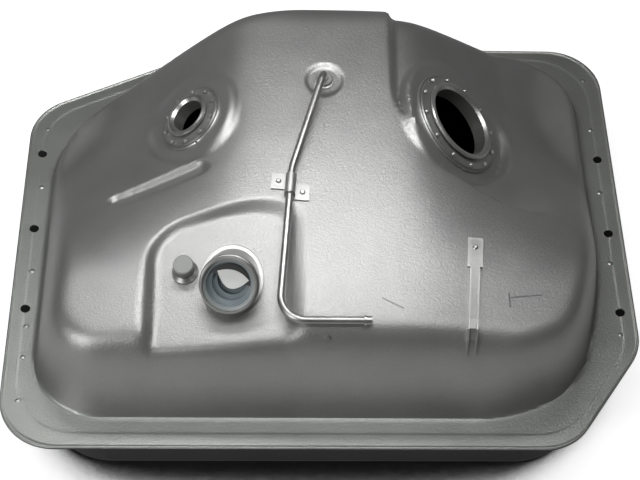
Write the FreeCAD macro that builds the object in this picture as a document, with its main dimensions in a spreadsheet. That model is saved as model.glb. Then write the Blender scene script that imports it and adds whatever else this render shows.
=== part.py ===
import FreeCAD, Part
import math
import os
import Sketcher
from FreeCAD import Placement, Rotation, Vector

# Car fuel tank: two steel pressings seam-welded round a flat flange, with pump and sender openings,
# a filler neck, a breather pipe, and the baffles, swirl pot and drain inside. Millimetres, +Z up.
# The origin is under the middle of the flange, on the ground that the lower shell stands on.
# +X is the right-hand end of the tank and +Y the side with the high crest.
doc = FreeCAD.newDocument("fuel_tank")
sizes = doc.addObject("Spreadsheet::Sheet", "Sizes")

# Driving dimensions
dimensions = [
    ("flange_length", 700), ("flange_depth", 564), ("sheet_wall", 1.2), ("flange_corner", 62),
    ("front_chamfer_along", 88), ("front_chamfer_up", 124),
    ("rear_chamfer_along", 222), ("rear_chamfer_up", 110),
    ("border_left", 36), ("border_right", 39), ("border_front", 41), ("border_rear", 34),
    ("border_front_chamfer", 29), ("border_rear_chamfer", 36), ("body_corner", 75),
    ("lower_depth", 118), ("lower_inset", 3), ("lower_draft", 8), ("floor_radius", 16),
    ("shoulder_height", 124), ("crest_height", 162), ("side_height", 22),
    ("left_ridge", 97), ("right_ridge", 100), ("ridge_rounding", 26),
    ("front_side_slope", 0.1), ("rear_side_slope", 0.9), ("shoulder_reach", 0.52),
    ("pump_x", 148), ("pump_rear", 204), ("pump_tilt", 41), ("pump_hole_radius", 44),
    ("pump_collar_radius", 62.5), ("pump_stud_circle", 56), ("pump_studs", 12),
    ("sender_x", -151), ("sender_rear", 208), ("sender_tilt", 37), ("sender_hole_radius", 22),
    ("sender_collar_radius", 41), ("sender_stud_circle", 34), ("sender_studs", 10),
    ("collar_thickness", 2.5), ("collar_step", 1.5), ("collar_split", 3), ("sleeve_wall", 2),
    ("sleeve_depth", 9), ("lip_tube", 2.5), ("stud_radius", 2.2), ("stud_height", 2.6),
    ("seat_margin", 14), ("weld_gap", 0.2), ("fit_gap", 0.3),
    ("recess_edge_x", 74), ("recess_turn_x", 123.4), ("recess_turn_rear", 275.6), ("recess_front_rear", 326),
    ("recess_depth", 13), ("recess_rounding", 40),
    ("pad_left", 188), ("pad_right", 36), ("pad_rear_x", -103), ("pad_rear_front", 220.6),
    ("pad_height", 112), ("pad_slope", 0.14), ("pad_lean", 0.1), ("pad_corner", 36), ("pad_wall", 17),
    ("bead_x", -229), ("bead_front", 252.5), ("bead_length", 92), ("bead_width", 9), ("bead_depth", 6),
    ("union_recess_radius", 22), ("union_recess_depth", 3),
    ("neck_x", -102), ("neck_front", 139), ("neck_radius", 29), ("neck_length", 42), ("neck_wall", 1.6),
    ("neck_tilt", 43), ("neck_turn", 6), ("neck_spigot", 10), ("neck_step", 0.8),
    ("neck_bead", 2.2), ("neck_collar_width", 3.5), ("neck_collar_height", 3),
    ("neck_sleeve_wall", 3), ("neck_sleeve_length", 20), ("neck_sleeve_depth", 7), ("neck_flap", 2),
    ("stub_x", -151), ("stub_front", 150), ("stub_radius", 10), ("stub_height", 16), ("stub_wall", 1.5),
    ("stub_cap", 3), ("stub_base", 4),
    ("pipe_radius", 4), ("pipe_bore", 2.8), ("pipe_clearance", 3), ("pipe_bend", 26), ("pipe_hook", 11),
    ("pipe_start_x", -3), ("pipe_start_rear", 181), ("pipe_corner_x", -53), ("pipe_corner_front", 81.5),
    ("pipe_end_x", 42), ("pipe_bead", 1.6), ("pipe_spigot", 6), ("pipe_step", 0.6), ("union_radius", 9), ("union_height", 5),
    ("clamp_x", -41), ("clamp_front", 241), ("clamp_length", 24), ("clamp_ear", 15), ("clamp_sheet", 1.5),
    ("clamp_stagger", 6),
    ("rivet_radius", 3), ("rivet_height", 1.6),
    ("clip_x", 150), ("clip_back_front", 185), ("clip_end_front", 61), ("clip_turn", 5),
    ("clip_plate", 36), ("clip_plate_width", 16), ("clip_channel", 10), ("clip_lip", 4),
    ("stud_x", -3), ("stud_front", 70), ("locating_radius", 3.5), ("locating_height", 3),
    ("bolt_pitch", 109), ("bolt_edge", 17), ("bolt_hole_radius", 5.5),
    ("weld_dot_radius", 3), ("weld_dot_height", 1.2), ("weld_dot_edge", 20),
    ("floor_bead_length", 228), ("floor_bead_width", 26), ("floor_bead_depth", 5), ("floor_bead_pitch", 120),
    ("baffle_x", 135), ("baffle_height", 100), ("baffle_length", 320), ("baffle_foot", 16),
    ("baffle_hole_radius", 18), ("baffle_hole_pitch", 90),
    ("pot_x", 20), ("pot_rear", 222), ("pot_radius", 58), ("pot_height", 62), ("pot_port_radius", 8),
    ("drain_x", -215), ("drain_front", 172), ("drain_pocket_radius", 30), ("drain_pocket_depth", 16),
    ("drain_boss_radius", 15), ("drain_boss_height", 9), ("drain_thread_radius", 8), ("drain_head_flats", 19),
    ("drain_head_height", 8), ("drain_washer", 1.5),
]
for row, (alias, number) in enumerate(dimensions, start=1):
    sizes.set(f"A{row}", alias)
    sizes.set(f"B{row}", str(number))
    sizes.setAlias(f"B{row}", alias)
doc.recompute()
aliases = [alias for alias, number in dimensions]


def size(text):
    """The number that a sum such as '2*pump_hole_radius - lip_tube' stands for."""
    total, sign = 0.0, 1.0
    for token in text.split():
        if token in ("+", "-"):
            sign = 1.0 if token == "+" else -1.0
            continue
        product = 1.0
        for word in token.split("*"):
            product *= float(sizes.get(word)) if word in aliases else float(word)
        total += sign * product
    return total


def formula(text):
    """The same sum as an expression on the sheet's cells."""
    words = []
    for token in text.split():
        words.append("*".join("Sizes." + word if word in aliases else word for word in token.split("*")))
    return " ".join(words)


wall = size("sheet_wall")
seam = size("lower_depth")
flange_top = seam + wall
half_length = size("flange_length") / 2
half_depth = size("flange_depth") / 2


def from_front(name):
    """The Y of a place given as its distance in from the flange's front edge."""
    return size(name) - half_depth


def from_rear(name):
    """The Y of a place given as its distance in from the flange's rear edge."""
    return half_depth - size(name)


# Plan outlines: six sides, anticlockwise from the front, with a cut corner at the front right
# and a larger one at the rear left. The corners are rounded with arcs.
flange_corners = [
    (-half_length, -half_depth),
    (half_length - size("front_chamfer_along"), -half_depth),
    (half_length, -half_depth + size("front_chamfer_up")),
    (half_length, half_depth),
    (-half_length + size("rear_chamfer_along"), half_depth),
    (-half_length, half_depth - size("rear_chamfer_up")),
]
borders = [size("border_" + side) for side in ("front", "front_chamfer", "right", "rear", "rear_chamfer", "left")]


def edge_lines(corners, insets):
    """Each side as a point on it and its inward normal, moved in by its own inset."""
    lines = []
    for index, (x0, y0) in enumerate(corners):
        x1, y1 = corners[(index + 1) % len(corners)]
        length = math.hypot(x1 - x0, y1 - y0)
        normal = (-(y1 - y0) / length, (x1 - x0) / length)
        lines.append(((x0 + normal[0] * insets[index], y0 + normal[1] * insets[index]), normal))
    return lines


def inset_corners(corners, insets):
    """The polygon whose sides lie inside the given ones by the insets."""
    lines = edge_lines(corners, insets)
    result = []
    for index, ((x1, y1), (a1, b1)) in enumerate(lines):
        (x0, y0), (a0, b0) = lines[index - 1]
        c0, c1 = a0 * x0 + b0 * y0, a1 * x1 + b1 * y1
        det = a0 * b1 - a1 * b0
        result.append(((c0 * b1 - c1 * b0) / det, (a0 * c1 - a1 * c0) / det))
    return result


def rounded_wire(corners, radius, z):
    """A closed wire of straight sides and tangent corner arcs at height z."""
    starts, middles, ends = [], [], []
    for index, corner in enumerate(corners):
        before, after = corners[index - 1], corners[(index + 1) % len(corners)]
        here = Vector(corner[0], corner[1], z)
        to_before = (Vector(before[0], before[1], z) - here).normalize()
        to_after = (Vector(after[0], after[1], z) - here).normalize()
        half_angle = to_before.getAngle(to_after) / 2
        reach = radius / math.tan(half_angle)
        centre = here + (to_before + to_after).normalize() * (radius / math.sin(half_angle))
        starts.append(here + to_before * reach)
        ends.append(here + to_after * reach)
        middles.append(centre + (here - centre).normalize() * radius)
    edges = []
    for index in range(len(corners)):
        edges.append(Part.Arc(starts[index], middles[index], ends[index]).toShape())
        following = starts[(index + 1) % len(corners)]
        edges.append(Part.LineSegment(ends[index], following).toShape())
    return Part.Wire(edges)


body_corners = inset_corners(flange_corners, borders)
body_lines = edge_lines(flange_corners, borders)
flange_lines = edge_lines(flange_corners, [0] * 6)


# The pressed form of the upper shell, as a height above the flange at each point of the plan
def smooth_step(value):
    value = min(max(value, 0.0), 1.0)
    return value * value * (3.0 - 2.0 * value)


def soft_ramp(value, rounding):
    return 0.5 * (value + math.hypot(value, rounding))


def round_min(first, second, radius):
    return max(radius, min(first, second)) - math.hypot(max(radius - first, 0.0), max(radius - second, 0.0))


def distance_in(lines, radius, x, y):
    """How far a point lies inside a polygon with rounded corners."""
    result = None
    for (px, py), (nx, ny) in lines:
        gap = (x - px) * nx + (y - py) * ny
        result = gap if result is None else round_min(result, gap, radius)
    return result


body_front_y = body_corners[0][1]
body_rear_y = body_corners[3][1]
crest_y = body_rear_y - 50
shoulder_y = body_front_y + 70


def roof_height(x, y):
    """The crest, its fall to the front shoulder, and the slopes down to both ends."""
    along = (y - shoulder_y) / (crest_y - shoulder_y)
    middle = size_shoulder + (size_crest - size_shoulder) * along
    turn = smooth_step((y - shoulder_y - 20) / (crest_y - shoulder_y - 20))
    lean = front_slope + (rear_slope - front_slope) * turn
    side = soft_ramp(-left_ridge - x, ridge_rounding) + soft_ramp(x - right_ridge, ridge_rounding)
    return side_height + soft_ramp(middle - lean * side - side_height, 12)


def plain_body(x, y):
    """The roof brought down to the flange by rounded shoulders and steep walls."""
    roof = roof_height(x, y)
    inside = distance_in(body_lines, body_corner, x, y)
    reach = shoulder_reach * roof
    if inside < 0:
        return roof * 4 * inside / reach
    return roof * (1 - (1 - min(inside / reach, 1.0)) ** 4)


size_shoulder, size_crest = size("shoulder_height"), size("crest_height")
front_slope, rear_slope = size("front_side_slope"), size("rear_side_slope")
left_ridge, right_ridge = size("left_ridge"), size("right_ridge")
ridge_rounding, side_height = size("ridge_rounding"), size("side_height")
body_corner, shoulder_reach = size("body_corner"), size("shoulder_reach")

# The right-hand recess round the pump opening: an edge along the crest that turns away to the front right
recess_lines = [
    ((size("recess_edge_x"), 0), (1, 0)),
    ((size("recess_turn_x"), from_rear("recess_turn_rear")), (0.654, 0.757)),
    ((0, from_rear("recess_front_rear")), (0, 1)),
]
recess_depth, recess_rounding = size("recess_depth"), size("recess_rounding")

# The sunk pad under the filler neck, open to the front; its right-hand wall is wide
pad_lines = [
    ((-size("pad_left"), 0), (1, 0)),
    ((-size("pad_right"), 0), (-0.57, 0)),
    ((size("pad_rear_x"), from_front("pad_rear_front")), (0.263, -0.965)),
]
pad_height, pad_slope, pad_lean = size("pad_height"), size("pad_slope"), size("pad_lean")
pad_centre = (-0.5 * size("pad_left + pad_right"), from_front("neck_front"))
pad_corner, pad_wall = size("pad_corner"), size("pad_wall")

# The long bead pressed into the left slope
bead_start = Vector(size("bead_x"), from_front("bead_front"), 0)
bead_along = Vector(0.957, 0.289, 0).normalize()
bead_length, bead_width, bead_depth = size("bead_length"), size("bead_width"), size("bead_depth")


def pad_plane(x, y):
    return pad_height + pad_slope * (y - pad_centre[1]) + pad_lean * (x - pad_centre[0])


def pressed_body(x, y):
    """The plain body with its recess, pad, bead and union recess."""
    z = plain_body(x, y)
    inside = distance_in(recess_lines, recess_rounding, x, y)
    fade = 1 - smooth_step((x - 190) / 60)
    z -= recess_depth * smooth_step((inside + 6) / 16) * fade * min(max(z, 0) / 60, 1)
    inside = distance_in(pad_lines, pad_corner, x, y)
    above = z - pad_plane(x, y)
    z -= smooth_step(0.5 + inside / pad_wall) * above * smooth_step(above / 6)
    offset = Vector(x, y, 0) - bead_start
    along = min(max(offset.dot(bead_along), 0), bead_length)
    aside = (offset - bead_along * along).Length
    z -= bead_depth * (1 - smooth_step((aside - bead_width + 5) / 10))
    middle = math.hypot(x - size_pipe_x, y - size_pipe_y)
    z -= union_recess_depth * (1 - smooth_step((middle - union_recess_radius + 4) / 8))
    return z


size_pipe_x, size_pipe_y = size("pipe_start_x"), from_rear("pipe_start_rear")
union_recess_depth, union_recess_radius = size("union_recess_depth"), size("union_recess_radius")


class Seat:
    """A flat round seat pressed in a slope, with the frame that its ring stands in."""

    def __init__(self, name, turn):
        self.x, self.y = size(name + "_x"), from_rear(name + "_rear")
        self.z = pressed_body(self.x, self.y)
        self.radius = size(name + "_collar_radius + seat_margin")
        self.rotation = Rotation(Vector(0, 1, 0), turn * size(name + "_tilt"))
        self.normal = self.rotation.multVec(Vector(0, 0, 1))
        foot = Vector(self.x, self.y, flange_top + self.z) + self.normal * size("weld_gap")
        self.placement = Placement(foot, self.rotation)

    def flatten(self, x, y, z):
        plane = self.z - (self.normal.x * (x - self.x) + self.normal.y * (y - self.y)) / self.normal.z
        offset = Vector(x - self.x, y - self.y, plane - self.z)
        return z + (plane - z) * (1 - smooth_step((offset.Length - self.radius) / 16))


pump_seat = Seat("pump", 1)
sender_seat = Seat("sender", -1)


def upper_surface(x, y):
    z = pressed_body(x, y)
    if x > 0:
        return pump_seat.flatten(x, y, z)
    return sender_seat.flatten(x, y, z)


def outer_point(x, y):
    return Vector(x, y, flange_top + upper_surface(x, y))


def surface_normal(x, y):
    step = 1.0
    slope_x = (upper_surface(x + step, y) - upper_surface(x - step, y)) / (2 * step)
    slope_y = (upper_surface(x, y + step) - upper_surface(x, y - step)) / (2 * step)
    return Vector(-slope_x, -slope_y, 1).normalize()


def stations(low, high, step):
    count = int(round((high - low) / step))
    return [low + (high - low) * index / count for index in range(count + 1)]


bays_x, bays_y = 4, 3
bay_length, bay_depth = size("flange_length") / bays_x, size("flange_depth") / bays_y


def form_solid(depth):
    """All that lies below the pressed surface moved in by a depth, above the flange's underside.

    It is put together bay by bay, so that each face keeps few spans and its volume stays exact.
    """
    margin = 9
    xs = stations(body_corners[0][0] - margin, body_corners[3][0] + margin, 8.0)
    ys = stations(body_front_y - margin, body_rear_y + margin, 8.0)
    poles = [[outer_point(x, y) - surface_normal(x, y) * depth for x in xs] for y in ys]
    knots_y = [0] + list(range(1, len(ys) - 3 + 1))
    knots_x = [0] + list(range(1, len(xs) - 3 + 1))
    surface = Part.BSplineSurface()
    surface.buildFromPolesMultsKnots(
        poles,
        [4] + [1] * (len(knots_y) - 2) + [4],
        [4] + [1] * (len(knots_x) - 2) + [4],
        knots_y, knots_x, False, False, 3, 3,
    )
    below = surface.toShape().extrude(Vector(0, 0, -2 * size_crest))
    bottom = flange_top if depth == 0 else seam - 1
    bays = []
    for column in range(bays_x):
        for row in range(bays_y):
            corner = Vector(-half_length + column * bay_length, -half_depth + row * bay_depth, bottom)
            bays.append(below.common(Part.makeBox(bay_length, bay_depth, 2 * size_crest, corner)))
    return bays[0].fuse(bays[1:])


def cylinder_along(placement, radius, low, high):
    shape = Part.makeCylinder(radius, high - low, Vector(0, 0, low))
    shape.Placement = placement
    return shape


# The filler neck leans forward out of its pad
neck_turn, neck_tilt = math.radians(size("neck_turn")), math.radians(size("neck_tilt"))
neck_axis = Vector(-math.sin(neck_tilt) * math.sin(neck_turn), -math.sin(neck_tilt) * math.cos(neck_turn),
                   math.cos(neck_tilt))


def seated(x, y):
    """A frame standing square on the pressed surface, the weld's gap above it."""
    normal = surface_normal(x, y)
    return Placement(outer_point(x, y) + normal * size("weld_gap"), Rotation(Vector(0, 0, 1), normal))


neck_seat = seated(size("neck_x"), from_front("neck_front"))
neck_placement = Placement(neck_seat.Base, Rotation(Vector(0, 0, 1), neck_axis))
stub_placement = seated(size("stub_x"), from_front("stub_front"))

bolt_xs = [-half_length + size("bolt_edge"), half_length - size("bolt_edge")]
bolt_ys = [-size("bolt_pitch"), 0, size("bolt_pitch")]


def flange_plate(bottom):
    outline = rounded_wire(flange_corners, size("flange_corner"), bottom)
    plate = Part.Face(outline).extrude(Vector(0, 0, wall))
    holes = []
    for x in bolt_xs:
        for y in bolt_ys:
            holes.append(Part.makeCylinder(size("bolt_hole_radius"), 3 * wall, Vector(x, y, bottom - wall)))
    return plate.cut(holes)


def add_shape(label, shape):
    """A pressing whose form is worked out above."""
    feature = doc.addObject("Part::Feature", label)
    feature.Label = label
    feature.Shape = shape
    return feature


# Upper shell
upper = form_solid(0).fuse(flange_plate(seam)).cut(form_solid(wall))
upper = upper.cut([
    cylinder_along(pump_seat.placement, size("pump_hole_radius"), -20, 20),
    cylinder_along(sender_seat.placement, size("sender_hole_radius"), -20, 20),
    cylinder_along(neck_placement, size("neck_radius - neck_wall"), -40, 40),
])
upper_shell = add_shape("upper_shell", upper)


# Lower shell: a drafted pan with a rounded floor edge, pressed floor beads and a drain pocket
pan_corners = inset_corners(flange_corners, [border + size("lower_inset") for border in borders])


def pan_solid(depth_in, top):
    """The pan's block, moved in by a depth, from its floor up to a height."""
    floor = depth_in
    top_corners = inset_corners(pan_corners, [depth_in] * 6)
    floor_corners = inset_corners(pan_corners, [depth_in + size("lower_draft")] * 6)
    sections = [
        rounded_wire(floor_corners, size("body_corner - lower_draft") - depth_in, floor),
        rounded_wire(top_corners, size("body_corner") - depth_in, top),
    ]
    block = Part.makeLoft(sections, True, True)
    floor_edges = [edge for edge in block.Edges if abs(edge.BoundBox.ZMax - floor) < 0.01]
    return block.makeFillet(size("floor_radius") - depth_in, floor_edges)


def slot_solid(centre, length, width, height):
    """A straight slot with round ends and a rounded top edge, standing on the ground."""
    radius = width / 2
    straight = length / 2 - radius
    body = Part.makeBox(2 * straight, width, height, centre - Vector(straight, radius, 0))
    ends = [Part.makeCylinder(radius, height, centre + Vector(side * straight, 0, 0)) for side in (-1, 1)]
    return body.fuse(ends).removeSplitter()


bead_centres = [Vector(0, size("floor_bead_pitch") * row, -wall) for row in (-1, 0, 1)]
pocket_centre = Vector(size("drain_x"), from_front("drain_front"), -wall)
outer_beads, inner_beads = [], []
for centre in bead_centres:
    outer_beads.append(slot_solid(centre, size("floor_bead_length"), size("floor_bead_width"),
                                  size("floor_bead_depth") + wall))
    inner_beads.append(slot_solid(centre, size("floor_bead_length") + 2 * wall,
                                  size("floor_bead_width") + 2 * wall, size("floor_bead_depth") + 2 * wall))
outer_beads.append(Part.makeCylinder(size("drain_pocket_radius"), size("drain_pocket_depth") + wall,
                                     pocket_centre))
inner_beads.append(Part.makeCylinder(size("drain_pocket_radius") + wall,
                                     size("drain_pocket_depth") + 2 * wall, pocket_centre))
pan = pan_solid(0, seam).fuse(flange_plate(seam - wall))
inside_pan = pan_solid(wall, seam + wall).cut(inner_beads)
drain_place = Placement(Vector(pocket_centre.x, pocket_centre.y, size("drain_pocket_depth")), Rotation())
drain_hole = cylinder_along(drain_place, size("drain_thread_radius"), -wall, 3 * wall)
pan = pan.cut(inside_pan).cut(outer_beads).cut(drain_hole)
lower_shell = add_shape("lower_shell", pan)


def profile(body, name, points):
    """A closed sketch on the body's XZ plane, each corner held by its distances from the axes."""
    sketch = body.newObject("Sketcher::SketchObject", name)
    plane = next(item for item in body.Origin.OriginFeatures if item.Role == "XZ_Plane")
    sketch.AttachmentSupport = [(plane, "")]
    sketch.MapMode = "FlatFace"
    places = [Vector(size(across), size(up), 0) for across, up in points]
    for index, place in enumerate(places):
        following = places[(index + 1) % len(places)]
        sketch.addGeometry(Part.LineSegment(place, following))
    for index in range(len(places)):
        sketch.addConstraint(Sketcher.Constraint("Coincident", index, 2, (index + 1) % len(places), 1))
    for index, corner in enumerate(points):
        for kind, axis, text in (("DistanceX", -2, corner[0]), ("DistanceY", -1, corner[1])):
            if text == "0":
                sketch.addConstraint(Sketcher.Constraint("PointOnObject", index, 1, axis))
                continue
            number = sketch.addConstraint(Sketcher.Constraint(kind, -1, 1, index, 1, size(text)))
            sketch.setExpression(f"Constraints[{number}]", formula(text))
    return sketch


def turned(label, points, placement=None):
    """A piece turned about its own Z axis from a profile of radius and height."""
    body = doc.addObject("PartDesign::Body", label)
    body.Label = label
    sketch = profile(body, label + "_profile", points)
    feature = body.newObject("PartDesign::Revolution", label + "_turn")
    feature.Profile = sketch
    feature.ReferenceAxis = (sketch, ["V_Axis"])
    feature.Angle = 360
    body.Placement = placement or Placement()
    return body


def bound(kind, name, values, placement=None):
    """A primitive whose sizes are bound to the sheet."""
    item = doc.addObject(kind, name)
    for prop, text in values.items():
        item.setExpression(prop, formula(text))
    item.Placement = placement or Placement()
    return item


def cylinder(name, radius, height, placement=None):
    return bound("Part::Cylinder", name, {"Radius": radius, "Height": height}, placement)


def box(name, length, width, height, placement=None):
    return bound("Part::Box", name, {"Length": length, "Width": width, "Height": height}, placement)


def cut(label, base, tools, placement=None):
    """The base less its tools."""
    tool = tools[0]
    if len(tools) > 1:
        tool = doc.addObject("Part::MultiFuse", label + "_tools")
        tool.Shapes = tools
    item = doc.addObject("Part::Cut", label)
    item.Base = base
    item.Tool = tool
    item.Label = label
    item.Placement = placement or Placement()
    return item


def fused(label, shapes, placement=None):
    item = doc.addObject("Part::MultiFuse", label)
    item.Shapes = shapes
    item.Label = label
    item.Placement = placement or Placement()
    return item


def group(label, shapes, placement=None):
    """Like pieces that share a node, each a solid of its own."""
    item = doc.addObject("Part::Compound", label)
    item.Links = shapes
    item.Label = label
    item.Placement = placement or Placement()
    return item


def at(x, y, z, turn=0, axis=Vector(0, 0, 1)):
    return Placement(Vector(x, y, z), Rotation(axis, turn))


# Pump and sender openings: a split collar on the seat, a rolled lip sleeve through it, and a ring of studs
pieces = [upper_shell, lower_shell]
for name, seat, split_turn in (("pump", pump_seat, -90), ("sender", sender_seat, -78)):
    hole, collar = name + "_hole_radius", name + "_collar_radius"
    ring = turned(name + "_collar_ring", [
        (hole, "0"),
        (collar, "0"),
        (collar, "collar_thickness - 1"),
        (collar + " - 1", "collar_thickness"),
        (name + "_stud_circle + 4", "collar_thickness"),
        (name + "_stud_circle + 3", "collar_thickness + collar_step"),
        (hole, "collar_thickness + collar_step"),
    ])
    split = box(name + "_split", collar, "collar_split", "collar_thickness + 4",
                at(size(name + "_stud_circle + 5") * math.cos(math.radians(split_turn)),
                   size(name + "_stud_circle + 5") * math.sin(math.radians(split_turn)), -1, split_turn))
    pieces.append(cut(name + "_collar", ring, [split], seat.placement))
    lip = "collar_thickness + collar_step + fit_gap + 0.4"
    pieces.append(turned(name + "_lip_ring", [
        (hole + " - fit_gap - sleeve_wall", "-1*sleeve_depth"),
        (hole + " - fit_gap", "-1*sleeve_depth"),
        (hole + " - fit_gap", "collar_thickness + collar_step + fit_gap"),
        (hole + " + 0.4*lip_tube", lip),
        (hole + " + 1.6*lip_tube", lip + " + 0.7*lip_tube"),
        (hole + " + 2*lip_tube", lip + " + 1.4*lip_tube"),
        (hole + " + 1.7*lip_tube", lip + " + 2.1*lip_tube"),
        (hole + " + lip_tube", lip + " + 2.4*lip_tube"),
        (hole + " + 0.2*lip_tube", lip + " + 2.2*lip_tube"),
        (hole + " - fit_gap - sleeve_wall", lip + " + lip_tube"),
    ], seat.placement))
    studs = []
    count = int(size(name + "_studs"))
    for index in range(count):
        angle = math.radians(split_turn) + 2 * math.pi * (index + 0.5) / count
        stud = doc.addObject("Part::Cone", f"{name}_stud_{index + 1}")
        stud.setExpression("Radius1", formula("stud_radius"))
        stud.setExpression("Radius2", formula("0.55*stud_radius"))
        stud.setExpression("Height", formula("stud_height"))
        radius = size(name + "_stud_circle")
        stud.Placement = at(radius * math.cos(angle), radius * math.sin(angle),
                            size("collar_thickness + collar_step"))
        studs.append(stud)
    pieces.append(group(name + "_studs", studs, seat.placement))


# Filler neck: a beaded tube trimmed to the pad, its weld collar, and the sleeve and flap inside it
neck_outer, neck_inner = size("neck_radius"), size("neck_radius - neck_wall")
neck_end = size("neck_length")
neck_root = size("2*neck_radius")


def pad_block(height):
    """A block standing on the pad's plane."""
    side = size("6*neck_radius")
    block = Part.makeBox(side, side, height, Vector(-side / 2, -side / 2, 0))
    block.Placement = neck_seat
    return block


def tube(placement, outer, inner, low, high):
    return cylinder_along(placement, outer, low, high).cut(cylinder_along(placement, inner, low - 1, high + 1))


bead_at = neck_end - size("neck_spigot + neck_bead")
root_outer = neck_outer + size("neck_step")
neck_tube = tube(neck_placement, root_outer, neck_inner, -neck_root, bead_at).common(pad_block(neck_root))
spigot = tube(neck_placement, neck_outer, neck_inner, bead_at - 1, neck_end)
bead = Part.makeTorus(neck_outer, size("neck_bead"), Vector(0, 0, bead_at))
bead.Placement = neck_placement
bead = bead.cut(cylinder_along(neck_placement, neck_inner, 0, neck_end))
pieces.append(add_shape("filler_neck", neck_tube.fuse([spigot, bead])))
collar = tube(neck_placement, root_outer + size("neck_collar_width"), root_outer, -neck_root, neck_root)
pieces.append(add_shape("filler_neck_collar", collar.common(pad_block(size("neck_collar_height")))))
sleeve_outer = neck_inner - size("fit_gap")
sleeve_inner = sleeve_outer - size("neck_sleeve_wall")
sleeve_top = neck_end - size("neck_sleeve_depth")
flap_low = sleeve_top - size("neck_sleeve_length")
sleeve = tube(neck_placement, sleeve_outer, sleeve_inner, flap_low, sleeve_top)
pieces.append(add_shape("filler_neck_sleeve", sleeve))
flap = cylinder_along(neck_placement, sleeve_inner, flap_low, flap_low + size("neck_flap"))
window = Part.makeCylinder(0.95 * sleeve_inner, sleeve_inner, Vector(-0.6 * sleeve_inner, -0.6 * sleeve_inner,
                                                                     flap_low - 5))
window.Placement = neck_placement
pieces.append(add_shape("filler_flap", flap.cut(window)))

# Blanked return stub beside the neck
pieces.append(turned("return_stub", [
    ("stub_radius - stub_wall", "0"),
    ("stub_radius + stub_base", "0"),
    ("stub_radius + stub_base", "1"),
    ("stub_radius", "stub_base"),
    ("stub_radius", "stub_height"),
    ("stub_radius - stub_wall", "stub_height"),
], stub_placement))
pieces.append(turned("stub_plug", [
    ("0", "stub_height - stub_cap"),
    ("stub_radius - stub_wall - 0.2", "stub_height - stub_cap"),
    ("stub_radius - stub_wall - 0.2", "stub_height + 0.2"),
    ("stub_radius + 0.8", "stub_height + 0.2"),
    ("stub_radius + 0.8", "stub_height + stub_cap - 1"),
    ("stub_radius - 0.2", "stub_height + stub_cap"),
    ("0", "stub_height + stub_cap"),
], stub_placement))

# Breather pipe: out of its union, down the roof under the clamp, and along the front shoulder
pipe_radius = size("pipe_radius")
pipe_lift = size("pipe_radius + pipe_clearance")
union_foot = outer_point(size_pipe_x, size_pipe_y) + Vector(0, 0, size("fit_gap"))
union_place = Placement(union_foot, Rotation(Vector(0, 0, 1), surface_normal(size_pipe_x, size_pipe_y)))


def above_roof(x, y, lift):
    return Vector(x, y, flange_top + upper_surface(x, y) + lift)


corner_x, corner_y = size("pipe_corner_x"), from_front("pipe_corner_front")
corner_z = flange_top + plain_body(corner_x, corner_y) + pipe_lift
clamp_point = above_roof(size("clamp_x"), from_front("clamp_front"), pipe_lift)
corner_point = Vector(corner_x, corner_y, corner_z)
down_pipe = (corner_point - clamp_point).normalize()
hook_top = above_roof(size_pipe_x, size_pipe_y, pipe_lift + size("pipe_hook + union_recess_depth"))
route = [
    union_place.multVec(Vector(0, 0, size("union_height + 1"))),
    hook_top,
    clamp_point - down_pipe * size("0.85*clamp_length"),
    corner_point,
    Vector(size("pipe_end_x"), corner_y, flange_top + plain_body(size("pipe_end_x"), corner_y) + pipe_lift),
]
bend_radii = [size("pipe_hook"), 60, size("pipe_bend")]


def bent_path(points, radii):
    """Straight runs joined by tangent arcs."""
    edges, last = [], points[0]
    for index, radius in enumerate(radii):
        corner = points[index + 1]
        back = (points[index] - corner).normalize()
        onward = (points[index + 2] - corner).normalize()
        half_angle = back.getAngle(onward) / 2
        reach = radius / math.tan(half_angle)
        centre = corner + (back + onward).normalize() * (radius / math.sin(half_angle))
        start, end = corner + back * reach, corner + onward * reach
        middle = centre + (corner - centre).normalize() * radius
        edges.append(Part.LineSegment(last, start).toShape())
        edges.append(Part.Arc(start, middle, end).toShape())
        last = end
    edges.append(Part.LineSegment(last, points[-1]).toShape())
    return Part.Wire(edges)


def swept(path, radius):
    start = path.Edges[0].Vertexes[0].Point
    direction = (path.Edges[0].Vertexes[1].Point - start).normalize()
    circle = Part.Wire(Part.makeCircle(radius, start, direction))
    return path.makePipeShell([circle], True, True)


pipe_path = bent_path(route, bend_radii)
pipe_end = route[-1]
end_direction = (route[-1] - route[-2]).normalize()
end_place = Placement(pipe_end, Rotation(Vector(0, 0, 1), end_direction))
pipe = swept(pipe_path, pipe_radius)
spigot_start = -size("pipe_spigot")
spigot = cylinder_along(end_place, pipe_radius + size("pipe_step"), spigot_start, 0)
end_bead = cylinder_along(end_place, pipe_radius + size("pipe_bead"), spigot_start - 2, spigot_start)
pipe = pipe.fuse([spigot, end_bead]).cut(swept(pipe_path, size("pipe_bore")))
pieces.append(add_shape("breather_pipe", pipe))
pieces.append(turned("pipe_union", [
    ("0", "0"),
    ("union_radius + 2", "0"),
    ("union_radius + 2", "1.5"),
    ("union_radius", "2"),
    ("union_radius", "union_height - 1"),
    ("union_radius - 1", "union_height"),
    ("0", "union_height"),
], union_place))

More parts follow.
